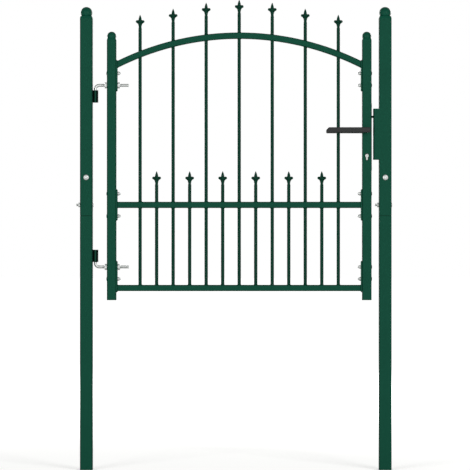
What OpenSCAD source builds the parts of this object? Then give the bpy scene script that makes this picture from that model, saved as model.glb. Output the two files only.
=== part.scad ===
// Spiked garden gate: an arched leaf of round bars, hung between two square posts.
// +X runs from the hinge post to the latch post, +Y from the front to the back, +Z up.
// The origin is the centre of the hinge post's foot. Sizes are in millimetres.

/* [Posts] */
// Side of the square post tube
post_w = 40; // [36:1:50]
// Wall of the post tube
post_wall = 1.5; // [1:0.25:2.5]
// Corner radius of the post tube
post_r = 3; // [1.5:0.25:3]
// Length of the lower post tube
post_lower_len = 816; // [760:1:840]
// Length of the upper post tube
post_upper_len = 634.5; // [560:0.5:720]
// Thickness of the plate that closes the foot
foot_t = 2; // [1:0.5:5]
// How far the spigot reaches into each post tube
spigot_reach = 150; // [130:5:200]
// Wall of the spigot
spigot_wall = 2; // [1:0.25:3]
// Corner radius of the spigot
spigot_r = 2; // [1:0.25:3]
// Gap between the spigot and the upper tube, on each side
spigot_play = 0.25; // [0.1:0.05:0.5]
// Depth of the groove where the two post tubes meet
seam_in = 0.6; // [0.2:0.1:0.8]
// Height of the groove in each tube
seam_h = 0.8; // [0.2:0.1:1]
// Bolts that clamp the upper tube to the spigot
post_bolt_d = 8; // [6:0.5:10]
// Bolt from front to back above the joint
face_bolt_up = 123; // [100:1:124]
// Bolt from side to side above the joint
side_bolt_up = 35; // [25:1:60]

/* [Ball caps] */
// Ball on a post
post_ball_d = 38; // [30:1:44]
// Ball on a stile
stile_ball_d = 29.5; // [24:0.5:32]
// Height of the sloped shoulder under a post's ball
post_shoulder_h = 6.4; // [5:0.2:9]
// Height of the sloped shoulder under a stile's ball
stile_shoulder_h = 5; // [4:0.2:8]
// Inset of the sloped shoulders
shoulder_in = 2.1; // [1.5:0.1:3]
// How far the ball sinks into its shoulder
ball_sink = 7.5; // [7:0.1:8]
// Wall of the cap
cap_wall = 2.5; // [1.5:0.25:3]
// Length of the cap's plug in the tube
plug_len = 15; // [8:1:25]
// Gap between the plug and the tube, on each side
plug_play = 0.25; // [0.1:0.05:0.5]

/* [Leaf frame] */
// Width of the leaf over both stiles
leaf_w = 850; // [750:10:1000]
// Gap between the hinge post and the leaf
hinge_gap = 46; // [42:1:60]
// Gap between the leaf and the latch post
latch_gap = 24; // [23:1:40]
// Height of the stile's foot above the post's foot
leaf_up = 545; // [500:5:580]
// Length of a stile
stile_len = 836; // [820:1:880]
// Side of the square stile tube
stile_w = 30; // [28:1:36]
// Wall of the stile tube
stile_wall = 1.5; // [1:0.25:2]
// Corner radius of the stile tube
stile_r = 2.5; // [1.5:0.25:3]
// Side of the square rail tube
rail_w = 20; // [18:1:24]
// Wall of the rail tube
rail_wall = 1.2; // [1:0.1:2]
// Corner radius of the rail tube
rail_r = 2; // [1:0.25:2.5]
// Bottom rail's centre above the stile's foot
bottom_rail_up = 39; // [36:1:60]
// Middle rail's centre above the stile's foot
middle_rail_up = 306; // [250:1:340]
// Arched rail's end below the stile's top, at its centre line
arch_end_down = 78; // [60:1:90]
// Rise of the arch's centre line from its ends to its crown
arch_rise = 92; // [70:1:120]

/* [End plates] */
// Thickness of the plate welded to a rail's end
plate_t = 4; // [3:0.5:6]
// Length of the plate
plate_len = 101; // [95:1:110]
// Depth of the plate
plate_d = 25; // [22:1:28]
// How far the plate reaches past the centre of the top or bottom rail
plate_over = 14; // [13:0.5:18]
// Corner radius of the plate
plate_r = 5; // [2:0.5:8]
// Bevel at the plate's ends
plate_bevel = 2.5; // [1:0.25:2.75]
// Bolts that hold the plates to the stiles
plate_bolt_d = 6; // [5:0.5:8]
// First plate bolt to the centre of the top or bottom rail
near_bolt_off = 29; // [24:0.5:34]
// Plate bolts to the centre of the middle rail
middle_bolt_off = 36; // [25:0.5:40]

/* [Bars and spikes] */
// Diameter of a bar
bar_d = 11; // [10:0.25:12]
// Wall of a bar
bar_wall = 1.2; // [1:0.1:2]
// Gap between a bar and its hole, on each side
bar_play = 0.2; // [0.1:0.05:0.4]
// Number of long bars
long_bars = 7; // [5:2:9]
// Stile's inner face to the axis of the first long bar
bar_margin = 76.4; // [60:0.1:90]
// Tip of the outermost long bars above the stile's top
outer_tip_over = 82; // [64:0.5:104]
// Rise of the tip from one long bar to the next, towards the middle
tip_step = 19.4; // [10:0.1:25]
// Rise of the middle bar's tip above its neighbours
middle_tip_step = 9.5; // [5:0.1:20]
// Tip of the short bars above the middle rail's centre
short_tip_over = 109; // [94:0.5:124]
// Collar's middle to the spike's tip
spike_h = 23.5; // [20:0.5:32]
// Width over the spike's lobes
spike_w = 28.6; // [24:0.2:32]
// Thickness of a lobe
lobe_t = 8.5; // [6:0.25:9]
// Diameter of the spike's waist
waist_d = 9; // [8:0.25:10]

/* [Hinges] */
// Outside of the hinge barrel
barrel_d = 18; // [16:0.5:20]
// Length of the hinge barrel
barrel_len = 39.5; // [30:0.5:50]
// Width of the weld between barrel and post
weld_w = 9; // [6:0.5:12]
// Diameter of the bent hinge bolt
hinge_bolt_d = 10; // [8:0.5:11]
// Radius of the bolt's bend, at its centre line
bend_r = 12; // [10:0.5:14]
// Gap round the bolt in its barrel, on each side
hinge_play = 0.1; // [0.05:0.01:0.1]
// Gap round the bolt in the stile, on each side
bolt_play = 0.2; // [0.1:0.05:0.5]
// Bolt's axis to the centre of the nearest rail
hinge_bolt_off = 67.7; // [50:0.1:75]
// Bolt's axis to the near end of its barrel
barrel_off = 15.8; // [15:0.1:20]
// Length of the bolt past the stile's inner face
bolt_past = 40; // [30:1:50]
// How far the bolt stops short of its barrel's far end
leg_short = 2; // [0:0.5:5]

/* [Lock] */
// Handle's axis above the stile's foot
handle_up = 546; // [520:1:570]
// Latch bolt above the handle's axis
latch_over = 43; // [40:1:50]
// Lock cylinder below the handle's axis
cylinder_under = 82.3; // [75:0.1:90]
// Thickness of the lock's face plate
lock_plate_t = 0.75; // [0.5:0.25:1.5]
// Depth of the lock's face plate
lock_plate_d = 22; // [20:0.5:24]
// Face plate's top above the handle's axis
lock_plate_over = 86; // [80:1:95]
// Face plate's foot below the handle's axis
lock_plate_under = 130; // [120:1:140]
// Rim of the face plate past the lock's case, at top and bottom
lock_plate_rim = 18; // [12:1:25]
// Thickness of the lock's case
case_d = 16; // [15:0.5:17]
// Gap between the case and the stile's inner wall
case_play = 1; // [0.5:0.25:2]
// Gap round the case in the stile's cut-out, on each side
cutout_play = 0.3; // [0.1:0.1:0.5]
// Width of the latch bolt
latch_w = 11; // [8:0.5:12]
// Height of the latch bolt
latch_h = 7; // [6:0.5:10]
// How far the latch bolt stands out of the face plate
latch_throw = 12; // [10:0.5:13]
// Gap round the latch bolt, on each side
latch_play = 0.3; // [0.1:0.05:0.5]
// Diameter of the cylinder's round part
cylinder_d = 14; // [13:0.5:17]
// Width of the cylinder's tail
cylinder_tail_w = 8; // [7:0.5:10]
// Height of the cylinder from top to bottom
cylinder_h = 22.5; // [20:0.5:26]
// How far the cylinder stands out of the stile
cylinder_proud = 3; // [1:0.5:6]
// Gap round the cylinder, on each side
cylinder_play = 0.2; // [0.1:0.05:0.5]

/* [Handle] */
// Lever's tip to the handle's axis
lever_len = 129; // [100:1:135]
// Lever's length past the axis
lever_back = 10; // [9:0.5:14]
// Height of the lever
lever_h = 16.5; // [16:0.5:20]
// Thickness of the lever
lever_t = 9; // [7:0.5:12]
// Cut at the top corner of the lever's tip
lever_cut = 6; // [4:0.5:8]
// Radius of the lever's edges and ends
lever_r = 3.5; // [2:0.25:3.5]
// Gap between the stile and the lever
lever_off = 24; // [20:1:35]
// Diameter of the lever's neck
neck_d = 16; // [15:0.5:18]
// Gap between the neck and the stile
neck_play = 1; // [0.5:0.25:2]
// Side of the square spindle
spindle_w = 8; // [7:0.5:8]
// Diameter of the follower that turns in the lock's case
follower_d = 16; // [14:0.5:18]
// Gap round the follower, on each side
follower_play = 0.1; // [0.05:0.01:0.1]

/* [Strike box] */
// Length of the strike box
keeper_len = 163.5; // [150:0.5:180]
// Strike box's top above the handle's axis
keeper_over = 69; // [60:0.5:80]
// Gap between the face plate and the strike box
keeper_gap = 5.25; // [5:0.25:7]
// Sheet of the strike box
keeper_t = 2; // [1:0.25:3]
// Outer radius of the strike box's bends
keeper_r = 3.5; // [3.25:0.25:5]
// Gap round the latch bolt in the strike box, on each side
strike_play = 0.8; // [0.5:0.1:2]

/* [Hidden] */
$fn = 64;
post_inner = post_w - 2 * post_wall;
post_top = post_lower_len + post_upper_len;
stile_inner = stile_w - 2 * stile_wall;
stile_top = leaf_up + stile_len;

leaf_x0 = post_w / 2 + hinge_gap;
leaf_x1 = leaf_x0 + leaf_w;
leaf_mid = (leaf_x0 + leaf_x1) / 2;
hinge_stile_x = leaf_x0 + stile_w / 2;
latch_stile_x = leaf_x1 - stile_w / 2;
latch_post_x = leaf_x1 + latch_gap + post_w / 2;
frame_x0 = leaf_x0 + stile_w;
frame_x1 = leaf_x1 - stile_w;

bottom_rail_z = leaf_up + bottom_rail_up;
middle_rail_z = leaf_up + middle_rail_up;
arch_end_z = stile_top - arch_end_down;
arch_half = (frame_x1 - frame_x0) / 2 - plate_t;
arch_radius = (arch_half * arch_half + arch_rise * arch_rise) / (2 * arch_rise);
arch_centre_z = arch_end_z + arch_rise - arch_radius;

bar_pitch = (frame_x1 - frame_x0 - 2 * bar_margin) / (long_bars - 1);
bar_foot_z = bottom_rail_z - rail_w / 2 + rail_wall;
middle_bar = (long_bars - 1) / 2;
bar_hole_d = bar_d + 2 * bar_play;

hinge_x = post_w / 2 + barrel_d / 2;
upper_bolt_z = arch_end_z - hinge_bolt_off;
lower_bolt_z = bottom_rail_z + hinge_bolt_off;
hinge_bolt_heights = [upper_bolt_z, lower_bolt_z];
near_bolt_heights = [arch_end_z - near_bolt_off, middle_rail_z + middle_bolt_off,
                     middle_rail_z - middle_bolt_off, bottom_rail_z + near_bolt_off];
leg_len = barrel_off + barrel_len - leg_short;

handle_z = leaf_up + handle_up;
latch_z = handle_z + latch_over;
cylinder_z = handle_z - cylinder_under;
case_x0 = latch_stile_x - stile_inner / 2 + case_play;
case_top = handle_z + lock_plate_over - lock_plate_rim;
case_foot = handle_z - lock_plate_under + lock_plate_rim;
keeper_x = leaf_x1 + lock_plate_t + keeper_gap;
keeper_depth = leaf_x1 + latch_gap - keeper_x;

// A cut runs this far past the faces that it opens
past = 1;
// Welded pieces of one solid run this far into each other
bite = 0.5;
// Colours of the powder coat, the zinc plate, the black lever and the lock's steel
green = "#194b3a";
dark_green = "#12362b";
zinc = "#c4c2be";
black = "#3a3a3a";
steel = "#b9bcbb";

// Rectangle with round corners, centred
module round_rect(w, h, r) {
    square([w - 2 * r, h], center = true);
    square([w, h - 2 * r], center = true);
    for (x = [-1, 1], y = [-1, 1])
        translate([x * (w / 2 - r), y * (h / 2 - r)]) circle(r);
}

// Section of a square tube with round corners, sharp inside
module tube_section(w, wall, r) {
    difference() {
        round_rect(w, w, r);
        square(w - 2 * wall, center = true);
    }
}

// Upright square tube, standing on z = 0
module square_tube(len, w, wall, r) {
    linear_extrude(len) tube_section(w, wall, r);
}

// Box from one corner to another
module box(from, to) {
    translate(from) cube(to - from);
}

// Round bar or hole along +X, +Y or +Z
module rod_x(len, d) { rotate([0, 90, 0]) cylinder(len, d = d); }
module rod_y(len, d) { rotate([-90, 0, 0]) cylinder(len, d = d); }

// Holes of the two bolts that clamp a post's tubes
module post_bolt_holes() {
    hole_d = post_bolt_d + 2 * bolt_play;
    from = -post_w / 2 - past;
    len = post_w + 2 * past;
    translate([0, from, post_lower_len + face_bolt_up]) rod_y(len, hole_d);
    translate([from, 0, post_lower_len + side_bolt_up]) rod_x(len, hole_d);
}

// Post tube on z = 0. Its outside is cut back from height cut_z, over half of the joint's groove.
module post_tube(len, cut_z) {
    difference() {
        square_tube(len, post_w, post_wall, post_r);
        translate([0, 0, cut_z]) linear_extrude(seam_h + past) difference() {
            square(post_w + 2 * past, center = true);
            round_rect(post_w - 2 * seam_in, post_w - 2 * seam_in, post_r - seam_in);
        }
    }
}

// Lower post tube, closed at its foot, with the spigot that carries the upper tube
module post_lower() {
    spigot_w = post_inner - 2 * spigot_play;
    color(green) difference() {
        union() {
            post_tube(post_lower_len, post_lower_len - seam_h);
            linear_extrude(foot_t) square(post_inner + bite, center = true);
            translate([0, 0, post_lower_len - spigot_reach])
                square_tube(spigot_reach, post_inner + bite, spigot_wall + spigot_play + bite / 2, spigot_r);
            translate([0, 0, post_lower_len - bite])
                square_tube(spigot_reach + bite, spigot_w, spigot_wall, spigot_r);
        }
        post_bolt_holes();
    }
}

module post_upper() {
    color(green) difference() {
        translate([0, 0, post_lower_len]) post_tube(post_upper_len, -past);
        post_bolt_holes();
    }
}

// Sloped shoulder: a square block whose four sides lean in
module shoulder(w, h) {
    module slope() {
        rotate([90, 0, 0]) linear_extrude(w, center = true)
            polygon([[-w / 2, 0], [w / 2, 0], [w / 2 - shoulder_in, h], [shoulder_in - w / 2, h]]);
    }
    intersection() {
        slope();
        rotate([0, 0, 90]) slope();
    }
}

// Hollow ball cap with its plug, standing on a tube's end at z = 0
module ball_cap(tube_w, tube_inner, ball_d, shoulder_h) {
    ball_z = shoulder_h - ball_sink + ball_d / 2;
    plug_w = tube_inner - 2 * plug_play;
    bore_d = ball_d - 4 * cap_wall;
    color(dark_green) difference() {
        union() {
            shoulder(tube_w, shoulder_h);
            translate([0, 0, ball_z]) sphere(d = ball_d);
            translate([-plug_w / 2, -plug_w / 2, -plug_len]) cube([plug_w, plug_w, plug_len + bite]);
        }
        translate([0, 0, ball_z]) sphere(d = ball_d - 2 * cap_wall);
        translate([0, 0, -plug_len - past]) cylinder(plug_len + past + ball_z, d = bore_d);
    }
}

// Hinge barrel along Z from z = 0, with the weld that holds it to the post
module hinge_barrel() {
    color(dark_green) translate([hinge_x, 0, 0]) difference() {
        union() {
            cylinder(barrel_len, d = barrel_d);
            box([-barrel_d / 2, -weld_w / 2, 0], [0, weld_w / 2, barrel_len]);
        }
        translate([0, 0, -past])
            cylinder(barrel_len + 2 * past, d = hinge_bolt_d + 2 * hinge_play);
    }
}

// Channel folded from sheet and welded to the post, with a slot for the latch bolt
module strike_box() {
    foot = handle_z + keeper_over - keeper_len;
    slot_w = latch_w + 2 * strike_play;
    slot_h = latch_h + 2 * strike_play;
    // Outline of a channel: its web at x = 0 with round bends, its flanges towards +x
    module channel(w, depth, r) {
        translate([r, -w / 2]) square([depth - r, w]);
        translate([0, r - w / 2]) square([depth, w - 2 * r]);
        for (side = [-1, 1])
            translate([r, side * (w / 2 - r)]) circle(r);
    }
    color(green) translate([keeper_x, 0, 0]) difference() {
        translate([0, 0, foot]) linear_extrude(keeper_len) difference() {
            channel(post_w, keeper_depth, keeper_r);
            translate([keeper_t, keeper_t - post_w / 2])
                square([keeper_depth, post_w - 2 * keeper_t]);
        }
        box([-past, -slot_w / 2, latch_z - slot_h / 2],
            [keeper_t + past, slot_w / 2, latch_z + slot_h / 2]);
    }
}

module stile_tube(x) {
    translate([x, 0, leaf_up]) square_tube(stile_len, stile_w, stile_wall, stile_r);
}

// Holes of the hinge bolts and the plate bolts, through the stiles and the plates on them
module bolt_holes() {
    len = stile_w + plate_t + 2 * past;
    hinge_hole_d = hinge_bolt_d + 2 * bolt_play;
    plate_hole_d = plate_bolt_d + 2 * bolt_play;
    translate([leaf_x0 - past, 0, 0]) {
        for (z = hinge_bolt_heights) translate([0, 0, z]) rod_x(len, hinge_hole_d);
        for (z = near_bolt_heights) translate([0, 0, z]) rod_x(len, plate_hole_d);
    }
    translate([frame_x1 - plate_t - past, 0, 0])
        for (z = concat(hinge_bolt_heights, near_bolt_heights))
            translate([0, 0, z]) rod_x(len, plate_hole_d);
}

module hinge_stile() {
    color(green) difference() {
        stile_tube(hinge_stile_x);
        bolt_holes();
    }
}

// The latch stile is cut for the lock's case, the follower and the cylinder
module latch_stile() {
    cutout_d = case_d + 2 * cutout_play;
    color(green) difference() {
        stile_tube(latch_stile_x);
        box([latch_stile_x + stile_inner / 2 - past, -cutout_d / 2, case_foot - cutout_play],
            [leaf_x1 + past, cutout_d / 2, case_top + cutout_play]);
        translate([latch_stile_x, -stile_w / 2 - past, handle_z])
            rod_y(stile_w + 2 * past, follower_d + 2 * follower_play);
        cylinder_body(stile_w + 2 * past, cylinder_play);
        bolt_holes();
    }
}

// Plate across a rail's end, its middle at z = 0, its back on the stile at x = 0
module end_plate() {
    end_z = plate_len / 2;
    bevel_z = end_z - plate_bevel;
    bevel_x = plate_t - plate_bevel;
    intersection() {
        rotate([0, 90, 0]) linear_extrude(plate_t) round_rect(plate_len, plate_d, plate_r);
        rotate([90, 0, 0]) linear_extrude(plate_d + 2 * past, center = true)
            polygon([[0, -end_z], [bevel_x, -end_z], [plate_t, -bevel_z],
                     [plate_t, bevel_z], [bevel_x, end_z], [0, end_z]]);
    }
}

// Bolted plates at both ends of a rail, their middles at height z
module end_plates(z) {
    difference() {
        union() {
            translate([frame_x0, 0, z]) end_plate();
            translate([frame_x1, 0, z]) mirror([1, 0, 0]) end_plate();
        }
        bolt_holes();
    }
}

// Places of the bars along the leaf
function long_bar_x(i) = frame_x0 + bar_margin + (i - 1) * bar_pitch;
function short_bar_x(i) = long_bar_x(i) + bar_pitch / 2;
long_bar_places = [for (i = [1 : long_bars]) long_bar_x(i)];
all_bar_places = concat(long_bar_places, [for (i = [1 : long_bars - 1]) short_bar_x(i)]);

// Upright holes at the bars' places, from z0 over a length
module bar_holes(places, z0, len) {
    for (x = places)
        translate([x, 0, z0]) cylinder(len, d = bar_hole_d);
}

// Straight rail tube between the end plates, its middle at height z
module rail_tube(z) {
    x0 = frame_x0 + plate_t - bite;
    len = frame_x1 - frame_x0 - 2 * plate_t + 2 * bite;
    translate([x0, 0, z]) rotate([90, 0, 90]) square_tube(len, rail_w, rail_wall, rail_r);
}

module middle_rail() {
    color(green) {
        end_plates(middle_rail_z);
        difference() {
            rail_tube(middle_rail_z);
            bar_holes(all_bar_places, middle_rail_z - rail_w / 2 - past, rail_w + 2 * past);
        }
    }
}

// The bars stand on the floor of the bottom rail
module bottom_rail() {
    color(green) {
        end_plates(bottom_rail_z - plate_over + plate_len / 2);
        difference() {
            rail_tube(bottom_rail_z);
            bar_holes(all_bar_places, bottom_rail_z, rail_w / 2 + past);
        }
    }
}

// Square tube bent to an arc, pierced by the long bars
module arched_top_rail() {
    ring_out = arch_radius + rail_w;
    color(green) {
        end_plates(arch_end_z + plate_over - plate_len / 2);
        difference() {
            intersection() {
                translate([leaf_mid, 0, arch_centre_z]) rotate([90, 0, 0])
                    rotate_extrude($fn = 180) translate([arch_radius, 0])
                        tube_section(rail_w, rail_wall, rail_r);
                box([frame_x0 + plate_t - bite, -rail_w, arch_end_z - rail_w],
                    [frame_x1 - plate_t + bite, rail_w, arch_centre_z + ring_out]);
            }
            bar_holes(long_bar_places, arch_end_z - rail_w, arch_rise + 2 * rail_w);
        }
    }
}

// Points on an arc about a centre, from one angle to another
function arc(centre, r, from, to, steps) =
    [for (i = [0 : steps]) let (a = from + (to - from) * i / steps)
        centre + r * [cos(a), sin(a)]];

// Spear spike on a bar's end. z = 0 is the middle of its collar.
spike_base_z = 6.5;
spike_base_r = 5.3;
spike_core_r = 6;
lobe_round = 4.5;
lobe_top = 5.5;
flare_r = 10.4;
flare_drop = 12.5;
waist_drop = 16.5;
spike_foot = 22.5;

// Turned core: waist, collar and a point with bulging sides
module spike_core() {
    point_steps = 7;
    point_power = 1.65;
    bar_r = bar_d / 2;
    rotate_extrude() polygon(concat(
        [[0, -spike_foot], [bar_r, -spike_foot], [waist_d / 2, -waist_drop], [bar_r, -flare_drop],
         [spike_core_r, -lobe_top], [spike_core_r, lobe_top]],
        [for (i = [0 : point_steps]) let (t = i / point_steps)
            [spike_base_r * (1 - pow(t, point_power)), spike_base_z + (spike_h - spike_base_z) * t]]));
}

// Round shape that the lobes are cut from, hollow underneath and rounded at its rim
module spike_flare() {
    rim = spike_w / 2 - lobe_round;
    under = arc([bar_d / 2 + flare_r, -flare_drop], flare_r, 180, 112, 5);
    edge = arc([rim, lobe_top - lobe_round], lobe_round, -55, 90, 7);
    rotate_extrude() polygon(concat([[0, -flare_drop]], under, edge, [[0, lobe_top]]));
}

// Section of a lobe: round on top, narrower underneath
module lobe_section() {
    top_r = lobe_t / 2;
    foot_r = lobe_t / 4;
    translate([0, lobe_top - top_r]) circle(top_r);
    polygon([[-top_r, lobe_top - top_r], [top_r, lobe_top - top_r],
             [foot_r, -flare_drop - past], [-foot_r, -flare_drop - past]]);
}

module spike() {
    spike_core();
    intersection() {
        spike_flare();
        for (turn = [0, 90])
            rotate([90, 0, turn]) linear_extrude(spike_w + 2 * past, center = true) lobe_section();
    }
}

// Bar with its spike, standing in the bottom rail at x, its tip at height tip_z
module spiked_bar(x, tip_z) {
    collar_z = tip_z - spike_h;
    len = collar_z - spike_foot - bar_foot_z;
    color(dark_green) translate([x, 0, 0]) {
        translate([0, 0, bar_foot_z]) difference() {
            cylinder(len + bite, d = bar_d);
            translate([0, 0, -past]) cylinder(len + past - bite, d = bar_d - 2 * bar_wall);
        }
        translate([0, 0, collar_z]) spike();
    }
}

// The tips of the long bars rise in steps towards the middle
function long_tip_z(i) =
    let (from_edge = min(i - 1, long_bars - i))
    stile_top + outer_tip_over + tip_step * min(from_edge, middle_bar - 1)
        + (from_edge == middle_bar ? middle_tip_step : 0);

module long_bar(i) { spiked_bar(long_bar_x(i), long_tip_z(i)); }
module short_bar(i) { spiked_bar(short_bar_x(i), middle_rail_z + short_tip_over); }

// Bent bolt at the origin: a rod along +X and a leg that turns down
module bent_bolt() {
    rod_end = frame_x0 + bolt_past - hinge_x;
    color(zinc) {
        translate([bend_r, 0, 0]) rod_x(rod_end - bend_r, hinge_bolt_d);
        translate([bend_r, 0, -bend_r]) rotate([90, 0, 0]) rotate([0, 0, 90])
            rotate_extrude(angle = 90) translate([bend_r, 0]) circle(d = hinge_bolt_d);
        translate([0, 0, -leg_len]) cylinder(leg_len - bend_r, d = hinge_bolt_d);
    }
}

module upper_hinge_bolt() {
    translate([hinge_x, 0, upper_bolt_z]) bent_bolt();
}

module lower_hinge_bolt() {
    translate([hinge_x, 0, lower_bolt_z]) mirror([0, 0, 1]) bent_bolt();
}

// Profile cylinder along Y: a round top with a tail under it, grown by a gap all round
module cylinder_body(len, gap) {
    tail_r = cylinder_tail_w / 2 + gap;
    tail_z = -(cylinder_h - cylinder_d / 2 - cylinder_tail_w / 2);
    translate([latch_stile_x, 0, cylinder_z]) rotate([90, 0, 0]) linear_extrude(len, center = true) {
        circle(cylinder_d / 2 + gap);
        translate([-tail_r, tail_z]) square([2 * tail_r, -tail_z]);
        translate([0, tail_z]) circle(tail_r);
    }
}

module lock_cylinder() {
    key_w = 1.6;
    key_h = 7;
    key_deep = 5;
    len = stile_w + 2 * cylinder_proud;
    color(steel) difference() {
        cylinder_body(len, 0);
        for (side = [-1, 1])
            translate([latch_stile_x, side * len / 2, cylinder_z])
                cube([key_w, 2 * key_deep, key_h], center = true);
    }
}

// Lock's case inside the stile, with its face plate on the stile's outer side
module lock_case() {
    channel_w = latch_w + 2 * latch_play;
    channel_h = latch_h + 2 * latch_play;
    plate_x1 = leaf_x1 + lock_plate_t;
    color(steel) difference() {
        union() {
            box([case_x0, -case_d / 2, case_foot], [leaf_x1 + bite, case_d / 2, case_top]);
            box([leaf_x1, -lock_plate_d / 2, handle_z - lock_plate_under],
                [plate_x1, lock_plate_d / 2, handle_z + lock_plate_over]);
        }
        box([case_x0 - past, -channel_w / 2, latch_z - channel_h / 2],
            [plate_x1 + past, channel_w / 2, latch_z + channel_h / 2]);
        translate([latch_stile_x, -case_d / 2 - past, handle_z])
            rod_y(case_d + 2 * past, follower_d + 2 * follower_play);
        cylinder_body(case_d + 2 * past, cylinder_play);
    }
}

// Latch bolt with one side of its nose sloped, so that it slides in as the gate shuts
module latch_bolt() {
    tip_x = leaf_x1 + lock_plate_t + latch_throw;
    tail_x = case_x0 + latch_throw;
    nose = latch_w / 2;
    color(steel) translate([0, 0, latch_z - latch_h / 2]) linear_extrude(latch_h)
        polygon([[tail_x, -latch_w / 2], [tip_x - nose, -latch_w / 2], [tip_x, 0],
                 [tip_x, latch_w / 2], [tail_x, latch_w / 2]]);
}

// Square spindle through the lock, with the round follower that turns in the case
module handle_spindle() {
    len = stile_w + 2 * lever_off;
    color(steel) translate([latch_stile_x, 0, handle_z]) {
        cube([spindle_w, len, spindle_w], center = true);
        translate([0, -stile_w / 2, 0]) rod_y(stile_w, follower_d);
    }
}

// Grip of a lever: rounded in all three views, one corner of its tip cut off
module lever_grip() {
    len = lever_len + lever_back;
    tip_z = lever_h / 2 - lever_cut;
    intersection() {
        rotate([90, 0, 0]) linear_extrude(lever_t + 2 * past, center = true) difference() {
            round_rect(len, lever_h, lever_r);
            translate([-len / 2, tip_z])
                polygon([[-past, -past], [lever_cut + past, lever_cut + past], [-past, lever_cut + past]]);
        }
        linear_extrude(lever_h + 2 * past, center = true) round_rect(len, lever_t, lever_r);
        rotate([90, 0, 90]) linear_extrude(len + 2 * past, center = true)
            round_rect(lever_t, lever_h, lever_r);
    }
}

// Lever on the front: its grip on a round neck with a square socket
module lever() {
    socket_w = spindle_w + 2 * follower_play;
    neck_y = -stile_w / 2 - neck_play;
    grip_y = -stile_w / 2 - lever_off;
    color(black) translate([latch_stile_x, 0, handle_z]) difference() {
        union() {
            translate([0, grip_y - bite, 0]) rod_y(neck_y - grip_y + bite, neck_d);
            translate([(lever_back - lever_len) / 2, grip_y - lever_t / 2, 0]) lever_grip();
        }
        translate([-socket_w / 2, grip_y, -socket_w / 2])
            cube([socket_w, neck_y - grip_y + past, socket_w]);
    }
}

module front_lever() { lever(); }
module back_lever() { mirror([0, 1, 0]) lever(); }

// Moves a post piece to the latch post
module at_latch_post() { translate([latch_post_x, 0, 0]) children(); }

module post_cap() {
    translate([0, 0, post_top]) ball_cap(post_w, post_inner, post_ball_d, post_shoulder_h);
}

module stile_cap(x) {
    translate([x, 0, stile_top]) ball_cap(stile_w, stile_inner, stile_ball_d, stile_shoulder_h);
}

post_lower();  // hinge_post_lower
post_upper();  // hinge_post_upper
post_cap();  // hinge_post_cap
at_latch_post() post_lower();  // latch_post_lower
at_latch_post() post_upper();  // latch_post_upper
at_latch_post() post_cap();  // latch_post_cap
translate([0, 0, upper_bolt_z - barrel_off - barrel_len]) hinge_barrel();  // upper_hinge_barrel
translate([0, 0, lower_bolt_z + barrel_off]) hinge_barrel();  // lower_hinge_barrel
strike_box();
hinge_stile();
latch_stile();
stile_cap(hinge_stile_x);  // hinge_stile_cap
stile_cap(latch_stile_x);  // latch_stile_cap
arched_top_rail();
middle_rail();
bottom_rail();
for (i = [1 : long_bars])
    long_bar(i);
for (i = [1 : long_bars - 1])
    short_bar(i);
upper_hinge_bolt();
lower_hinge_bolt();
lock_case();
lock_cylinder();
front_lever();
back_lever();
handle_spindle();
latch_bolt();
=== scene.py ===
# Spiked garden gate: the finish of every piece, its bolts, nuts, threads and welds.
# Everything is in metres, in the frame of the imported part: +X to the latch post, +Y to the back, +Z up.

import math

import bmesh
import bpy
from mathutils import Matrix, Vector


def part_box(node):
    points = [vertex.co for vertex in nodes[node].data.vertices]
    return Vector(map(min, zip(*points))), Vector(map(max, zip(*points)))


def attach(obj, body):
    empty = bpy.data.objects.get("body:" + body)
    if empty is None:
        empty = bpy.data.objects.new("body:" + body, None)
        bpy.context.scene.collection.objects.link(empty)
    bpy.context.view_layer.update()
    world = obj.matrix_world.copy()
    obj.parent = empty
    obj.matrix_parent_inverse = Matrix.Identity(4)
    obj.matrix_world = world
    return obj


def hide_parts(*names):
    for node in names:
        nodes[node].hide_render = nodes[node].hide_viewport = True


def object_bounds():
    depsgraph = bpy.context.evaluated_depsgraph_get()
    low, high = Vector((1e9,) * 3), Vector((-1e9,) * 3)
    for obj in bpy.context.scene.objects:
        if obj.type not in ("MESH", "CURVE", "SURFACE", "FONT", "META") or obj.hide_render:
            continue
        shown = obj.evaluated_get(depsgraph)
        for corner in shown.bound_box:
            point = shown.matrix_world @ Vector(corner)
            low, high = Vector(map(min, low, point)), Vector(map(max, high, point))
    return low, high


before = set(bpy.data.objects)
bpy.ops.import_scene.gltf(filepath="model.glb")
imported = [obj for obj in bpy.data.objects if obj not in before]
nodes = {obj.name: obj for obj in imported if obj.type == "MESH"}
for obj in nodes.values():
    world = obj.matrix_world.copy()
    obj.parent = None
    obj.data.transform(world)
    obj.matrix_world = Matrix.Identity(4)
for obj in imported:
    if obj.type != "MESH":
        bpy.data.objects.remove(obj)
cad_low, cad_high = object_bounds()
MM = 0.001

# Posts
# Each post is a square steel tube in two lengths, pushed together over a spigot.
# The tube is cold-rolled, welded along its length, powder coated and baked.


def linear(colour):
    """An sRGB hex colour as linear RGBA."""
    parts = [int(colour[i : i + 2], 16) / 255 for i in (1, 3, 5)]
    return [c / 12.92 if c <= 0.04045 else ((c + 0.055) / 1.055) ** 2.4 for c in parts] + [1.0]


def add_node(tree, kind, links=None, **settings):
    """Adds a node. settings are its properties, links its sockets' values or the sockets that feed them."""
    node = tree.nodes.new(kind)
    for name, value in settings.items():
        setattr(node, name, value)
    for socket, value in (links or {}).items():
        if isinstance(value, bpy.types.NodeSocket):
            tree.links.new(value, node.inputs[socket])
        else:
            node.inputs[socket].default_value = value
    return node


def new_material(name):
    """An empty material, and its node tree."""
    material = bpy.data.materials.new(name)
    material.use_nodes = True
    material.node_tree.nodes.clear()
    return material, material.node_tree


def finish_node(node_name, material):
    """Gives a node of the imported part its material."""
    for slot in nodes[node_name].material_slots:
        slot.link = "OBJECT"
        slot.material = material


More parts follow.
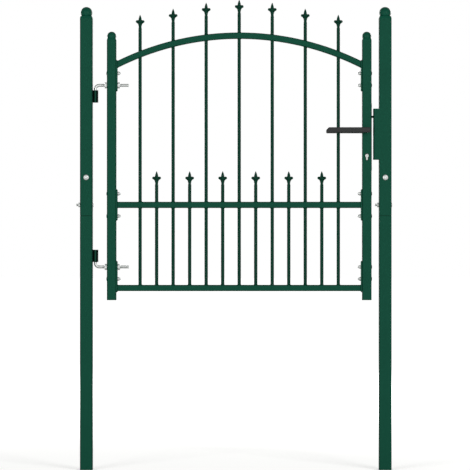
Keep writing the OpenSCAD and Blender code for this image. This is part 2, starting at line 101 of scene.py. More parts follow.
# Polyester powder coat, sprayed and baked: a satin moss green skin with a fine orange peel.
# Along the tubes' corners runs a line of painted shade, and the coat is rougher there.
# The peel is drawn deeper than the real one, so that it shows.
COAT_GREEN = "#0f4736"
COAT_DEEP = "#0d4232"
COAT_DRIFT = 90 * MM
COAT_GLOSS = (0.5, 0.62)
COAT_IOR = 1.5
COAT_SPECULAR = 0.05
ORANGE_PEEL = 3.0 * MM
PEEL_HEIGHT = 0.3 * MM
PEEL_STRENGTH = 0.8
# Painted shade along the corners: its colour, its strength, and where it starts and is full.
CORNER_SHADE_GREEN = "#010d09"
CORNER_GLOSS = 1.0
CORNER_SHADE_SHARE = 0.65
CORNER_STARTS = 0.49
CORNER_FULL = 0.4


def powder_coat(name, green, deep, corner_shade_share):
    """Builds the coat from its two tones. The last argument says how much painted shade darkens its
    corners.
    """
    material, tree = new_material(name)
    spot = add_node(tree, "ShaderNodeTexCoord")
    place = spot.outputs["Object"]
    drift = add_node(tree, "ShaderNodeTexNoise", {"Vector": place, "Scale": 1 / COAT_DRIFT, "Detail": 3.0})
    peel = add_node(tree, "ShaderNodeTexNoise", {"Vector": place, "Scale": 1 / ORANGE_PEEL, "Detail": 2.0})
    tone = add_node(
        tree,
        "ShaderNodeMix",
        {"Factor": drift.outputs["Fac"], "A": linear(deep), "B": linear(green)},
        data_type="RGBA",
    )
    gloss = add_node(
        tree,
        "ShaderNodeMapRange",
        {"Value": peel.outputs["Fac"], "To Min": COAT_GLOSS[0], "To Max": COAT_GLOSS[1]},
    )
    if corner_shade_share:
        # A flat side faces the front or back, or stands edge on to them: there, flat is 0.5.
        # Only a corner does neither, and in its middle flat is 0.
        lean = add_node(tree, "ShaderNodeSeparateXYZ", {0: spot.outputs["Normal"]}).outputs["Y"]
        square = add_node(tree, "ShaderNodeMath", {0: lean, 1: lean}, operation="MULTIPLY")
        centred = add_node(
            tree, "ShaderNodeMath", {0: square.outputs["Value"], 1: 0.5}, operation="SUBTRACT"
        )
        flat = add_node(tree, "ShaderNodeMath", {0: centred.outputs["Value"]}, operation="ABSOLUTE")
        corner = add_node(
            tree,
            "ShaderNodeMapRange",
            {
                "Value": flat.outputs["Value"],
                "From Min": CORNER_STARTS,
                "From Max": CORNER_FULL,
                "To Min": 0.0,
                "To Max": corner_shade_share,
            },
        )
        # Painted shade: where the mask is up, the tone is mixed toward near black along the corners.
        tone = add_node(
            tree,
            "ShaderNodeMix",
            {"Factor": corner.outputs["Result"], "A": tone.outputs["Result"], "B": linear(CORNER_SHADE_GREEN)},
            data_type="RGBA",
        )
        gloss = add_node(
            tree,
            "ShaderNodeMapRange",
            {"Value": corner.outputs["Result"], "To Min": gloss.outputs["Result"], "To Max": CORNER_GLOSS},
        )
    bump = add_node(
        tree,
        "ShaderNodeBump",
        {"Height": peel.outputs["Fac"], "Strength": PEEL_STRENGTH, "Distance": PEEL_HEIGHT},
    )
    skin = add_node(
        tree,
        "ShaderNodeBsdfPrincipled",
        {
            "Base Color": tone.outputs["Result"],
            "Roughness": gloss.outputs["Result"],
            "Normal": bump.outputs["Normal"],
            "IOR": COAT_IOR,
            "Specular IOR Level": COAT_SPECULAR,
        },
    )
    add_node(tree, "ShaderNodeOutputMaterial", {"Surface": skin.outputs["BSDF"]})
    return material


tube_coat = powder_coat("green_powder_coat", COAT_GREEN, COAT_DEEP, CORNER_SHADE_SHARE)

for post in ("hinge_post", "latch_post"):
    finish_node(post + "_lower", tube_coat)
    finish_node(post + "_upper", tube_coat)

# Ball caps
# A ball on a square, sloped shoulder closes the top of each post and stile.
# Hollow polypropylene, injection moulded in the posts' green, with a plug pushed into the tube.

# Moulded polypropylene: a little glossier and darker than the coat, with a fine grain from the mould
# and faint clouds of pigment. The grain is drawn coarser than the real one, so that it shows.
CAP_GREEN = "#0b4837"
CAP_DEEP = "#094433"
CAP_GRAIN = 1.5 * MM
CAP_GLOSS = (0.36, 0.5)
CAP_IOR = 1.49
PIGMENT_CLOUD = 14 * MM
GRAIN_HEIGHT = 0.05 * MM
GRAIN_STRENGTH = 0.25
PLASTIC_SPECULAR = 0.06


def moulded_plastic(name, colour, deep, grain_size, gloss, ior):
    """Builds a plastic from its two tones, its mould's grain, its range of roughness and its IOR."""
    material, tree = new_material(name)
    place = add_node(tree, "ShaderNodeTexCoord").outputs["Object"]
    cloud = add_node(
        tree, "ShaderNodeTexNoise", {"Vector": place, "Scale": 1 / PIGMENT_CLOUD, "Detail": 2.0}
    )
    grain = add_node(tree, "ShaderNodeTexNoise", {"Vector": place, "Scale": 1 / grain_size, "Detail": 3.0})
    tone = add_node(
        tree,
        "ShaderNodeMix",
        {"Factor": cloud.outputs["Fac"], "A": linear(deep), "B": linear(colour)},
        data_type="RGBA",
    )
    sheen = add_node(
        tree, "ShaderNodeMapRange", {"Value": grain.outputs["Fac"], "To Min": gloss[0], "To Max": gloss[1]}
    )
    bump = add_node(
        tree,
        "ShaderNodeBump",
        {"Height": grain.outputs["Fac"], "Strength": GRAIN_STRENGTH, "Distance": GRAIN_HEIGHT},
    )
    skin = add_node(
        tree,
        "ShaderNodeBsdfPrincipled",
        {
            "Base Color": tone.outputs["Result"],
            "Roughness": sheen.outputs["Result"],
            "Normal": bump.outputs["Normal"],
            "IOR": ior,
            "Specular IOR Level": PLASTIC_SPECULAR,
        },
    )
    add_node(tree, "ShaderNodeOutputMaterial", {"Surface": skin.outputs["BSDF"]})
    return material


cap_plastic = moulded_plastic("green_polypropylene", CAP_GREEN, CAP_DEEP, CAP_GRAIN, CAP_GLOSS, CAP_IOR)

for cap in ("hinge_post_cap", "latch_post_cap", "hinge_stile_cap", "latch_stile_cap"):
    finish_node(cap, cap_plastic)

# Post bolts
# Each post has a bolt from front to back and one from side to side, which clamp the two tubes.
# Zinc-plated steel: a round head on one face, a washer, a nut and a thread end on the other.
FACE_BOLT_Z = 939 * MM
FACE_HEAD_D = 18 * MM
FACE_HEAD_H = 4.5 * MM
FACE_GROOVE_R = 4.2 * MM
FACE_GROOVE_W = 0.7 * MM
FACE_GROOVE_DEEP = 0.8 * MM
SIDE_BOLT_Z = 851 * MM
SIDE_HEAD_D = 14 * MM
SIDE_HEAD_H = 3.2 * MM
SIDE_HEAD_EDGE = 0.75
POST_BOLT_D = 8 * MM
POST_BOLT_PITCH = 1.25 * MM
POST_BOLT_PAST = 12.5 * MM
POST_NUT_AF = 13 * MM
POST_NUT_T = 5 * MM
POST_WASHER_D = 15 * MM
POST_WASHER_T = 1.2 * MM
NUT_FACE_SHARE = 0.95
NUT_CORNER_LEAN = math.tan(math.radians(30))
SHARP_ANGLE = 35

# Heads, washers, screws and weld roots are sunk this far into what carries them, so that no gap shows.
SINK = 0.2 * MM


def rim_point(bm, place, radius, turn, height):
    """Adds a point at a radius, a turn and a height about the Z axis of a place."""
    return bm.verts.new(place @ Vector((radius * math.cos(turn), radius * math.sin(turn), height)))


def skin_rings(bm, rings):
    """Joins rings of points, one after the other, with faces. A ring of one point is a pole."""
    for low, high in zip(rings, rings[1:]):
        count = max(len(low), len(high))
        for i in range(count):
            j = (i + 1) % count
            if len(low) == 1:
                bm.faces.new((low[0], high[j], high[i]))
            elif len(high) == 1:
                bm.faces.new((low[i], low[j], high[0]))
            else:
                bm.faces.new((low[i], low[j], high[j], high[i]))


def turned(bm, profile, place, sides=40, closed=False):
    """Adds a turned solid: profile lists (radius, height) from foot to top, or round a ring if closed."""
    rings = []
    for radius, height in profile:
        count = sides if radius else 1
        rings.append([rim_point(bm, place, radius, 2 * math.pi * i / count, height) for i in range(count)])
    skin_rings(bm, rings + rings[:1] if closed else rings)


def disc(diameter, thick):
    """Profile of a flat disc or washer."""
    return [(0, 0), (diameter / 2, 0), (diameter / 2, thick), (0, thick)]


def dome(diameter, height, edge_share=0.25, steps=8):
    """Profile of a round head: a straight edge, for a share of its height, under a dome."""
    edge = edge_share * height
    rise = height - edge
    profile = [(0, 0), (diameter / 2, 0)]
    for k in range(steps):
        turn = math.pi / 2 * k / steps
        profile.append((diameter / 2 * math.cos(turn), edge + rise * math.sin(turn)))
    return profile + [(0, height)]


def grooved(profile, radius, wide, deep):
    """A round head's profile with a ring groove cut into its top."""
    outer = [point for point in profile[1:] if point[0] > radius + wide]
    top = profile[-1][1]
    lip = top - deep / 4
    bed = top - deep
    groove = [
        (radius + wide, lip),
        (radius + wide / 2, bed),
        (radius - wide / 2, bed),
        (radius - wide, lip),
    ]
    return profile[:1] + outer + groove + [(0, top)]


def hex_nut(bm, across, thick, bore, place, sides=72):
    """Adds a six-sided nut standing on its foot, its corners turned off to a cone."""
    flat_r = NUT_FACE_SHARE * across / 2
    rings = [[], [], [], [], [], []]
    for i in range(sides):
        turn = 2 * math.pi * i / sides
        off_flat = (turn + math.pi / 6) % (math.pi / 3) - math.pi / 6
        side_r = across / 2 / math.cos(off_flat)
        drop = (side_r - flat_r) * NUT_CORNER_LEAN
        radii = (bore / 2, flat_r, side_r, side_r, flat_r, bore / 2)
        heights = (0, 0, drop, thick - drop, thick, thick)
        for ring, radius, height in zip(rings, radii, heights):
            ring.append(rim_point(bm, place, radius, turn, height))
    skin_rings(bm, rings + rings[:1])


# A thread's crest and root are flat for these shares of half a turn. Its depth is a share of its pitch.
CREST_FLAT = 0.3
ROOT_FLAT = 0.2
THREAD_DEPTH = 0.25
THREAD_STEPS = 8


def thread_cut(turns):
    """How deep a thread is cut after a number of turns: 0 on its flat crest, 1 on its flat root."""
    from_crest = abs(2 * (turns % 1) - 1)
    return min(1, max(0, (from_crest - CREST_FLAT) / (1 - CREST_FLAT - ROOT_FLAT)))


def threaded_end(bm, diameter, pitch, length, place, sides=24):
    """Adds a threaded rod along +Z from z = 0, with a chamfered end."""
    deep = THREAD_DEPTH * pitch
    count = int(length / pitch * THREAD_STEPS)
    rings = [[rim_point(bm, place, 0, 0, 0)]]
    for k in range(count + 1):
        height = length * k / count
        ring = []
        for i in range(sides):
            radius = diameter / 2 - deep * thread_cut(height / pitch - i / sides)
            radius = min(radius, diameter / 2 - deep + length - height)
            ring.append(rim_point(bm, place, radius, 2 * math.pi * i / sides, height))
        rings.append(ring)
    rings.append([rim_point(bm, place, 0, 0, length)])
    skin_rings(bm, rings)


def facing(point, direction):
    """Matrix that takes +Z to a direction and the origin to a point."""
    return Matrix.Translation(point) @ Vector(direction).to_track_quat("Z", "Y").to_matrix().to_4x4()


def add_piece(name, bm, material, body, crease=SHARP_ANGLE):
    """Turns a bmesh into a piece of the gate that rides on a body."""
    bmesh.ops.recalc_face_normals(bm, faces=bm.faces)
    mesh = bpy.data.meshes.new(name)
    bm.to_mesh(mesh)
    bm.free()
    mesh.shade_smooth()
    mesh.set_sharp_from_angle(angle=math.radians(crease))
    mesh.materials.append(material)
    piece = bpy.data.objects.new(name, mesh)
    bpy.context.scene.collection.objects.link(piece)
    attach(piece, body)
    return piece


# Bright zinc plate: a pale, faintly blotched metal, satin from the plating bath.
ZINC = "#b1b4b2"
ZINC_DULL = "#989a99"
ZINC_BLOTCH = 4 * MM
ZINC_GLOSS = (0.34, 0.5)


def plated_metal(name, bright, dull, blotch_size, gloss, stretch=1.0):
    """Builds a plated metal from its tones, blotches and gloss. stretch draws the blotches out along Z."""
    material, tree = new_material(name)
    place = add_node(tree, "ShaderNodeTexCoord").outputs["Object"]
    drawn = add_node(tree, "ShaderNodeMapping", {"Vector": place, "Scale": (1.0, 1.0, 1 / stretch)})
    blotch = add_node(
        tree,
        "ShaderNodeTexNoise",
        {"Vector": drawn.outputs["Vector"], "Scale": 1 / blotch_size, "Detail": 4.0},
    )
    tone = add_node(
        tree,
        "ShaderNodeMix",
        {"Factor": blotch.outputs["Fac"], "A": linear(dull), "B": linear(bright)},
        data_type="RGBA",
    )
    satin = add_node(
        tree, "ShaderNodeMapRange", {"Value": blotch.outputs["Fac"], "To Min": gloss[0], "To Max": gloss[1]}
    )
    skin = add_node(
        tree,
        "ShaderNodeBsdfPrincipled",
        {"Base Color": tone.outputs["Result"], "Roughness": satin.outputs["Result"], "Metallic": 1.0},
    )
    add_node(tree, "ShaderNodeOutputMaterial", {"Surface": skin.outputs["BSDF"]})
    return material


zinc_plate = plated_metal("zinc_plate", ZINC, ZINC_DULL, ZINC_BLOTCH, ZINC_GLOSS)


def post_bolt(bm, head_at, nut_at, head):
    """Adds a bolt through a post: its head at one face, its washer, nut and thread end at the other."""
    way = (nut_at - head_at).normalized()
    turned(bm, head, facing(head_at + way * SINK, -way))
    turned(bm, disc(POST_WASHER_D, POST_WASHER_T), facing(nut_at - way * SINK, way))
    nut_foot = nut_at + way * (POST_WASHER_T - SINK)
    hex_nut(bm, POST_NUT_AF, POST_NUT_T, POST_BOLT_D - POST_BOLT_PITCH, facing(nut_foot, way))
    threaded_end(bm, POST_BOLT_D, POST_BOLT_PITCH, POST_BOLT_PAST, facing(nut_at, way))


face_head = grooved(dome(FACE_HEAD_D, FACE_HEAD_H), FACE_GROOVE_R, FACE_GROOVE_W, FACE_GROOVE_DEEP)
side_head = dome(SIDE_HEAD_D, SIDE_HEAD_H, SIDE_HEAD_EDGE)
for post in ("hinge_post", "latch_post"):
    low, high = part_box(post + "_upper")
    mid = (low + high) / 2
    front = Vector((mid.x, low.y, FACE_BOLT_Z))
    back = Vector((mid.x, high.y, FACE_BOLT_Z))
    right = Vector((high.x, mid.y, SIDE_BOLT_Z))
    left = Vector((low.x, mid.y, SIDE_BOLT_Z))
    bm = bmesh.new()
    post_bolt(bm, front, back, face_head)
    post_bolt(bm, right, left, side_head)
    add_piece(post + "_bolts", bm, zinc_plate, "posts")

# Post joints
# The upper tube of each post stands on the lower one. In the groove between them lies a thin ring in
# painted shade, nearly black, so the joint shows as a dark line all round.
JOINT_DEEP = 0.5 * MM
JOINT_HALF_H = 0.75 * MM
JOINT_WALL = 1.0 * MM
JOINT_CORNER_R = 2.5 * MM
JOINT_CORNER_STEPS = 6

# Painted shade: a dull, nearly black green that stands in for the shade in the groove.
JOINT_SHADE_GREEN = "#002114"
JOINT_SHADE_BLACK = "#001c10"

joint_painted_shade = powder_coat("painted_shade_in_joints", JOINT_SHADE_GREEN, JOINT_SHADE_BLACK, 0)

bm = bmesh.new()
for post in ("hinge_post", "latch_post"):
    low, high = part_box(post + "_upper")
    mid = (low + high) / 2
    flat = (high.x - low.x) / 2 - JOINT_DEEP - JOINT_CORNER_R
    rings = []
    for inset, up in ((0, -1), (0, 1), (JOINT_WALL, 1), (JOINT_WALL, -1)):
        ring = []
        for corner, (to_x, to_y) in enumerate(((1, 1), (-1, 1), (-1, -1), (1, -1))):
            corner_at = Matrix.Translation((mid.x + to_x * flat, mid.y + to_y * flat, low.z))
            for k in range(JOINT_CORNER_STEPS + 1):
                turn = math.pi / 2 * (corner + k / JOINT_CORNER_STEPS)
                ring.append(rim_point(bm, corner_at, JOINT_CORNER_R - inset, turn, up * JOINT_HALF_H))
        rings.append(ring)
    skin_rings(bm, rings + rings[:1])
add_piece("post_joints", bm, joint_painted_shade, "posts")

# Hinge barrels
# Two short steel tubes welded upright to the hinge post, coated with it.
# A bead of weld runs down each side where the tube touches the post.
BARREL_WELD_Y = 4.5 * MM
BARREL_WELD_LEG = 3.2 * MM
BARREL_WELD_OUT = 0.9
BARREL_WELD_INSET = 1.0 * MM

# The same coat, with painted shade on the barrels: green along the crown, nearly black on the curved
# flanks.
BARREL_GREEN = "#154536"
BARREL_DEEP = "#133f31"
FLANK_SHADE_SHARE = 0.95

shaded_barrel_coat = powder_coat("shaded_green_powder_coat_on_barrels", BARREL_GREEN, BARREL_DEEP, FLANK_SHADE_SHARE)

# A bead's size goes up and down by small shares: once in each ripple, and slowly as the hand wanders.
WELD_RIPPLE = 2.2 * MM
RIPPLE_STEPS = 4
RIPPLE_SHARE = 0.1
WANDER_SHARE = 0.08
WANDER_RATE = 37
WANDER_SHIFT = 5
WELD_LEAST_STEPS = 6
WELD_TIP = 0.15
WELD_HOLLOW = 0.25
WELD_CREASE = 60


def weld_seam(bm, start, end, side_a, side_b, leg):
    """Adds a rippled bead from start to end, in the corner between two faces that point along the sides."""
    length = (end - start).length
    count = max(WELD_LEAST_STEPS, int(length / (WELD_RIPPLE / RIPPLE_STEPS)))
    rings = [[bm.verts.new(start)]]
    for k in range(count + 1):
        at = start + (end - start) / count * k
        along = length * k / count
        ripple = 1 + RIPPLE_SHARE * math.sin(2 * math.pi * along / WELD_RIPPLE)
        wander = 1 + WANDER_SHARE * math.sin(WANDER_RATE * along + WANDER_SHIFT * start.z)
        taper = math.sqrt(min(1, min(along, length - along) / leg + WELD_TIP))
        size = leg * ripple * wander * taper
        ring = [bm.verts.new(at - (side_a + side_b) * SINK)]
        for share in (0, 0.25, 0.5, 0.75, 1):
            hollow = 1 - WELD_HOLLOW * math.sin(math.pi * share)
            ring.append(bm.verts.new(at + (side_a * (1 - share) + side_b * share) * (size * hollow)))
        rings.append(ring)
    rings.append([bm.verts.new(end)])
    skin_rings(bm, rings)


bm = bmesh.new()
for barrel in ("upper_hinge_barrel", "lower_hinge_barrel"):
    finish_node(barrel, shaded_barrel_coat)
    low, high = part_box(barrel)
    for side in (-1, 1):
        foot = Vector((low.x, side * BARREL_WELD_Y, low.z + BARREL_WELD_INSET))
        top = Vector((low.x, side * BARREL_WELD_Y, high.z - BARREL_WELD_INSET))
        weld_seam(bm, foot, top, Vector((BARREL_WELD_OUT, 0, 0)), Vector((0, side, 0)), BARREL_WELD_LEG)
add_piece("barrel_welds", bm, shaded_barrel_coat, "posts", crease=WELD_CREASE)

# Strike box
# A channel folded from steel sheet, welded to the latch post over the latch bolt's path.
# The welds fill the groove along the post's corners and are ground flush on the front and back.
GROUND_WELD_W = 8 * MM
GROUND_WELD_PROUD = 0.08 * MM
GROUND_WELD_SUNK = 3 * MM
GROUND_WELD_STEPS = 60
GRIND_WAVE = 0.06 * MM
GRIND_WAVE_FAST = 2.1
GRIND_WAVE_SLOW = 0.37

finish_node("strike_box", tube_coat)
low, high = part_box("strike_box")
bm = bmesh.new()
for side, y in ((-1, low.y), (1, high.y)):
    rings = []
    for k in range(GROUND_WELD_STEPS + 1):
        z = low.z + (high.z - low.z) * k / GROUND_WELD_STEPS
        wave = GRIND_WAVE * math.sin(GRIND_WAVE_FAST * k) * math.sin(GRIND_WAVE_SLOW * k)
        profile = (
            (-0.5, -GROUND_WELD_SUNK),
            (-0.5, 0),
            (-0.2, wave),
            (0.2, wave),
            (0.5, 0),
            (0.5, -GROUND_WELD_SUNK),
        )
        ring = []
        for across, proud in profile:
            at_y = y + side * (GROUND_WELD_PROUD + proud)
            ring.append(bm.verts.new((high.x + across * GROUND_WELD_W, at_y, z)))
        rings.append(ring)
    skin_rings(bm, rings)
    bm.faces.new(rings[0])
    bm.faces.new(rings[-1])
add_piece("strike_box_welds", bm, tube_coat, "posts", crease=WELD_CREASE)

# Leaf frame
# Two stiles of square tube and three rails, the top one bent to an arch.
# Each rail is welded to a flat plate at each end, and the plates are bolted to the stiles.
RAIL_HALF = 10 * MM
RAIL_WELD = 1.8 * MM
RAIL_WELD_INSET = 2 * MM
RAIL_PROBE = 5 * MM
PLATE_T = 4 * MM
RAILS = ("arched_top_rail", "middle_rail", "bottom_rail")

# Rays that feel for a rail's faces start well above and below the whole gate.
RAY_ABOVE = 3.0
RAY_BELOW = -1.0

for part in ("hinge_stile", "latch_stile") + RAILS:
    finish_node(part, tube_coat)


def rail_height(rail, x, y, up):
    """Height of a rail's top (up = 1) or underside (up = -1) at a place beside its holes."""
    start = Vector((x, y, RAY_ABOVE if up > 0 else RAY_BELOW))
    _, point, _, _ = nodes[rail].ray_cast(start, Vector((0, 0, -up)))
    return point.z


bm = bmesh.new()
for rail in RAILS:
    low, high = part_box(rail)
    for end_x, along in ((low.x + PLATE_T, 1), (high.x - PLATE_T, -1)):
        edges = []
        for up in (-1, 1):
            near = rail_height(rail, end_x + along * RAIL_PROBE, 0, up)
            far = rail_height(rail, end_x + along * 2 * RAIL_PROBE, 0, up)
            edges.append(2 * near - far)
        run = Vector((along * RAIL_PROBE, 0, far - near)).normalized()
        for side in (-1, 1):
            foot = Vector((end_x, side * RAIL_HALF, edges[0] + RAIL_WELD_INSET))
            top = Vector((end_x, side * RAIL_HALF, edges[1] - RAIL_WELD_INSET))
            weld_seam(bm, foot, top, Vector((0, side, 0)), run, RAIL_WELD)
        for up, z in zip((-1, 1), edges):
            start = Vector((end_x, RAIL_WELD_INSET - RAIL_HALF, z))
            end = Vector((end_x, RAIL_HALF - RAIL_WELD_INSET, z))
            weld_seam(bm, start, end, Vector((0, 0, up)), run, RAIL_WELD)
add_piece("rail_welds", bm, tube_coat, "leaf", crease=WELD_CREASE)

# Bars and spikes
# Thirteen round steel tubes, each with a cast spear spike on its end, pushed through the rails.
# A small fillet of weld holds each bar where it goes into a rail.
LONG_BARS = [name for name in nodes if name.startswith("long_bar_")]
SHORT_BARS = [name for name in nodes if name.startswith("short_bar_")]
BAR_DIAMETER = 11 * MM
FILLET_LEG = 2.0 * MM
FILLET_SIDES = 28
FILLET_CREASE = 70
FILLET_BESIDE = 1.5 * MM
FILLET_PROBE = 8 * MM

# Points across a fillet, out from the bar and up from the rail, as shares of its leg.
FILLET_PROFILE = ((-0.1, -0.3), (0.02, 1.0), (0.42, 0.42), (1.0, -0.1))

# Waves round a fillet: their share of its leg, how many, and how far they turn for each metre across.
FILLET_WAVES = ((0.12, 3, 40), (0.08, 7, 9))

# The same coat on the round bars, in a deeper green than the frame's: painted shade for their round flanks.
BAR_SHADED_GREEN = "#0a3628"
BAR_SHADED_DEEP = "#093124"

shaded_bar_coat = powder_coat("shaded_green_powder_coat_on_bars", BAR_SHADED_GREEN, BAR_SHADED_DEEP, 0)
for bar in LONG_BARS + SHORT_BARS:
    finish_node(bar, shaded_bar_coat)


def bar_weld(bm, rail, bar, up):
    """Adds the fillet round a bar on a rail's top or underside, which may slope."""
    low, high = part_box(bar)
    mid = (low + high) / 2
    radius = BAR_DIAMETER / 2
    beside = mid.y + radius + FILLET_BESIDE
    height = rail_height(rail, mid.x, beside, up)
    right = rail_height(rail, mid.x + FILLET_PROBE, beside, up)
    left = rail_height(rail, mid.x - FILLET_PROBE, beside, up)
    slope = (right - left) / (2 * FILLET_PROBE)
    rings = [[], [], [], []]
    for i in range(FILLET_SIDES):
        turn = 2 * math.pi * i / FILLET_SIDES
        waves = [share * math.sin(many * turn + shift * mid.x) for share, many, shift in FILLET_WAVES]
        leg = FILLET_LEG * (1 + sum(waves))
        for ring, (out, lift) in zip(rings, FILLET_PROFILE):
            x = mid.x + (radius + leg * out) * math.cos(turn)
            y = mid.y + (radius + leg * out) * math.sin(turn)
            z = height + slope * (x - mid.x) + up * leg * lift
            ring.append(bm.verts.new((x, y, z)))
    skin_rings(bm, rings + rings[:1])


bm = bmesh.new()
for bar in LONG_BARS:
    for up in (-1, 1):
        bar_weld(bm, "arched_top_rail", bar, up)
for bar in LONG_BARS + SHORT_BARS:
    for up in (-1, 1):
        bar_weld(bm, "middle_rail", bar, up)
    bar_weld(bm, "bottom_rail", bar, 1)
add_piece("bar_welds", bm, shaded_bar_coat, "leaf", crease=FILLET_CREASE)

# Plate bolts
# Each end plate is held by two bolts through the stile, or one where a hinge bolt takes its place.
# Round heads outside, painted with the stile. Zinc-plated cap nuts on washers inside.
PLATE_HEAD_D = 13 * MM
PLATE_HEAD_H = 2.4 * MM
CAP_NUT_AF = 10 * MM
CAP_NUT_HEX_T = 4.5 * MM
CAP_NUT_H = 10 * MM
CAP_NUT_BORE = 4 * MM
CAP_NUT_DOME_D = 9 * MM
CAP_NUT_DOME_SUNK = 0.5 * MM
CAP_WASHER_D = 12.5 * MM
CAP_WASHER_T = 1.2 * MM
BOTH_STILES_Z = [1274 * MM, 887 * MM, 815 * MM, 613 * MM]
LATCH_STILE_Z = [1235.3 * MM, 651.7 * MM]


def cap_nut(bm, place):
    """Adds a six-sided nut with a closed round cap, on a washer."""
    turned(bm, disc(CAP_WASHER_D, CAP_WASHER_T), place)
    nut_at = place @ Matrix.Translation((0, 0, CAP_WASHER_T - SINK))
    hex_nut(bm, CAP_NUT_AF, CAP_NUT_HEX_T, CAP_NUT_BORE, nut_at)
    dome_at = nut_at @ Matrix.Translation((0, 0, CAP_NUT_HEX_T - CAP_NUT_DOME_SUNK))
    turned(bm, dome(CAP_NUT_DOME_D, CAP_NUT_H - CAP_NUT_HEX_T), dome_at)


heads = bmesh.new()
nuts = bmesh.new()
for stile, heights, inward in (
    ("hinge_stile", BOTH_STILES_Z, 1),
    ("latch_stile", BOTH_STILES_Z + LATCH_STILE_Z, -1),
):
    low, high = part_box(stile)
    mid = (low + high) / 2
    outer_x = low.x if inward > 0 else high.x
    inner_x = (high.x if inward > 0 else low.x) + inward * PLATE_T
    for z in heights:
        outside = facing(Vector((outer_x + inward * SINK, mid.y, z)), (-inward, 0, 0))
        inside = facing(Vector((inner_x - inward * SINK, mid.y, z)), (inward, 0, 0))
        turned(heads, dome(PLATE_HEAD_D, PLATE_HEAD_H), outside)
        cap_nut(nuts, inside)
add_piece("plate_bolt_heads", heads, tube_coat, "leaf")
add_piece("plate_cap_nuts", nuts, zinc_plate, "leaf")

# Hinge bolts
# Two steel rods, threaded at one end and bent square at the other, zinc plated.
# The bent leg turns in the barrel. The threaded end is clamped to the stile by two nuts.
HINGE_BEND_R = 12 * MM
HINGE_BEND_STEPS = 12
HINGE_BOLT_SIDES = 28
HINGE_LEG_CHAMFER = 1.0 * MM
HINGE_THREAD_PITCH = 1.5 * MM
HINGE_THREAD_FROM = 6 * MM
HINGE_THREAD_RUN_IN = 2
HINGE_NUT_AF = 17 * MM
HINGE_NUT_T = 8 * MM
HINGE_NUT_GRIP = 1.0 * MM


def bent_bolt(name, up):
    """Builds a bent bolt in the place of its node. up = 1 where its leg hangs down."""
    low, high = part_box(name)
    radius = (high.y - low.y) / 2
    leg_x = low.x + radius
    rod_z = high.z - radius if up > 0 else low.z + radius
    leg_end = low.z if up > 0 else high.z
    corner = Vector((leg_x + HINGE_BEND_R, 0, rod_z - up * HINGE_BEND_R))
    stations = []
    for z in (leg_end, leg_end + up * HINGE_LEG_CHAMFER, corner.z):
        stations.append((Vector((leg_x, 0, z)), Vector((0, 0, up))))
    for k in range(1, HINGE_BEND_STEPS + 1):
        turn = math.pi / 2 * k / HINGE_BEND_STEPS
        way = Vector((math.sin(turn), 0, up * math.cos(turn)))
        arm = Vector((-math.cos(turn), 0, up * math.sin(turn)))
        stations.append((corner + HINGE_BEND_R * arm, way))
    thread_x = corner.x + HINGE_THREAD_FROM
    count = int((high.x - thread_x) / HINGE_THREAD_PITCH * THREAD_STEPS)
    for k in range(count + 1):
        x = thread_x + (high.x - thread_x) * k / count
        stations.append((Vector((x, 0, rod_z)), Vector((1, 0, 0))))
    deep = THREAD_DEPTH * HINGE_THREAD_PITCH
    bm = bmesh.new()
    rings = [[bm.verts.new(stations[0][0])]]
    to_back = Vector((0, 1, 0))
    for k, (at, way) in enumerate(stations):
        to_side = way.cross(to_back)
        ring = []
        for i in range(HINGE_BOLT_SIDES):
            turn = 2 * math.pi * i / HINGE_BOLT_SIDES
            r = radius - HINGE_LEG_CHAMFER if k == 0 else radius
            if at.x > thread_x:
                turns = (at.x - thread_x) / HINGE_THREAD_PITCH
                run_in = min(1, turns / HINGE_THREAD_RUN_IN)
                r -= deep * thread_cut(turns - i / HINGE_BOLT_SIDES) * run_in
                r = min(r, radius - deep + high.x - at.x)
            back = to_back * (r * math.cos(turn))
            aside = to_side * (r * math.sin(turn))
            ring.append(bm.verts.new(at + back + aside))
        rings.append(ring)
    rings.append([bm.verts.new(Vector((high.x, 0, rod_z)))])
    skin_rings(bm, rings)
    piece = add_piece(name + "_threaded", bm, zinc_plate, "leaf")
    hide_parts(name)
    return rod_z, radius


bm = bmesh.new()
low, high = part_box("hinge_stile")
for bolt, up in (("upper_hinge_bolt", 1), ("lower_hinge_bolt", -1)):
    rod_z, radius = bent_bolt(bolt, up)
    outside = facing(Vector((low.x, 0, rod_z)), (-1, 0, 0))
    inside = facing(Vector((high.x + PLATE_T, 0, rod_z)), (1, 0, 0))
    for place in (outside, inside):
        hex_nut(bm, HINGE_NUT_AF, HINGE_NUT_T, 2 * radius - HINGE_NUT_GRIP, place)
add_piece("hinge_bolt_nuts", bm, zinc_plate, "leaf")

# Lock
# A mortice lock in the latch stile. Its case, face plate and latch bolt are black-passivated zinc.
# The nickel-plated cylinder is pushed through the stile and the case.

# Nickel plate: brushed along its length, brighter than the zinc. The brush lines are drawn wider than
# the real ones, so that they show.
NICKEL = "#b9bbb9"
NICKEL_DULL = "#afb1af"
BRUSH_LINE = 0.6 * MM
BRUSH_STRETCH = 16
NICKEL_GLOSS = (0.2, 0.38)

nickel_plate = plated_metal("nickel_plate", NICKEL, NICKEL_DULL, BRUSH_LINE, NICKEL_GLOSS, BRUSH_STRETCH)
finish_node("handle_spindle", nickel_plate)

# Black-passivated zinc on the case, the face plate and the latch bolt: a near-black, clouded metal.
BLACK_ZINC = "#1d2b26"
BLACK_ZINC_DULL = "#17231e"
BLACK_ZINC_CLOUD = 4 * MM
BLACK_ZINC_GLOSS = (0.4, 0.55)

black_zinc = plated_metal("black_zinc", BLACK_ZINC, BLACK_ZINC_DULL, BLACK_ZINC_CLOUD, BLACK_ZINC_GLOSS)
finish_node("lock_case", black_zinc)
finish_node("latch_bolt", black_zinc)

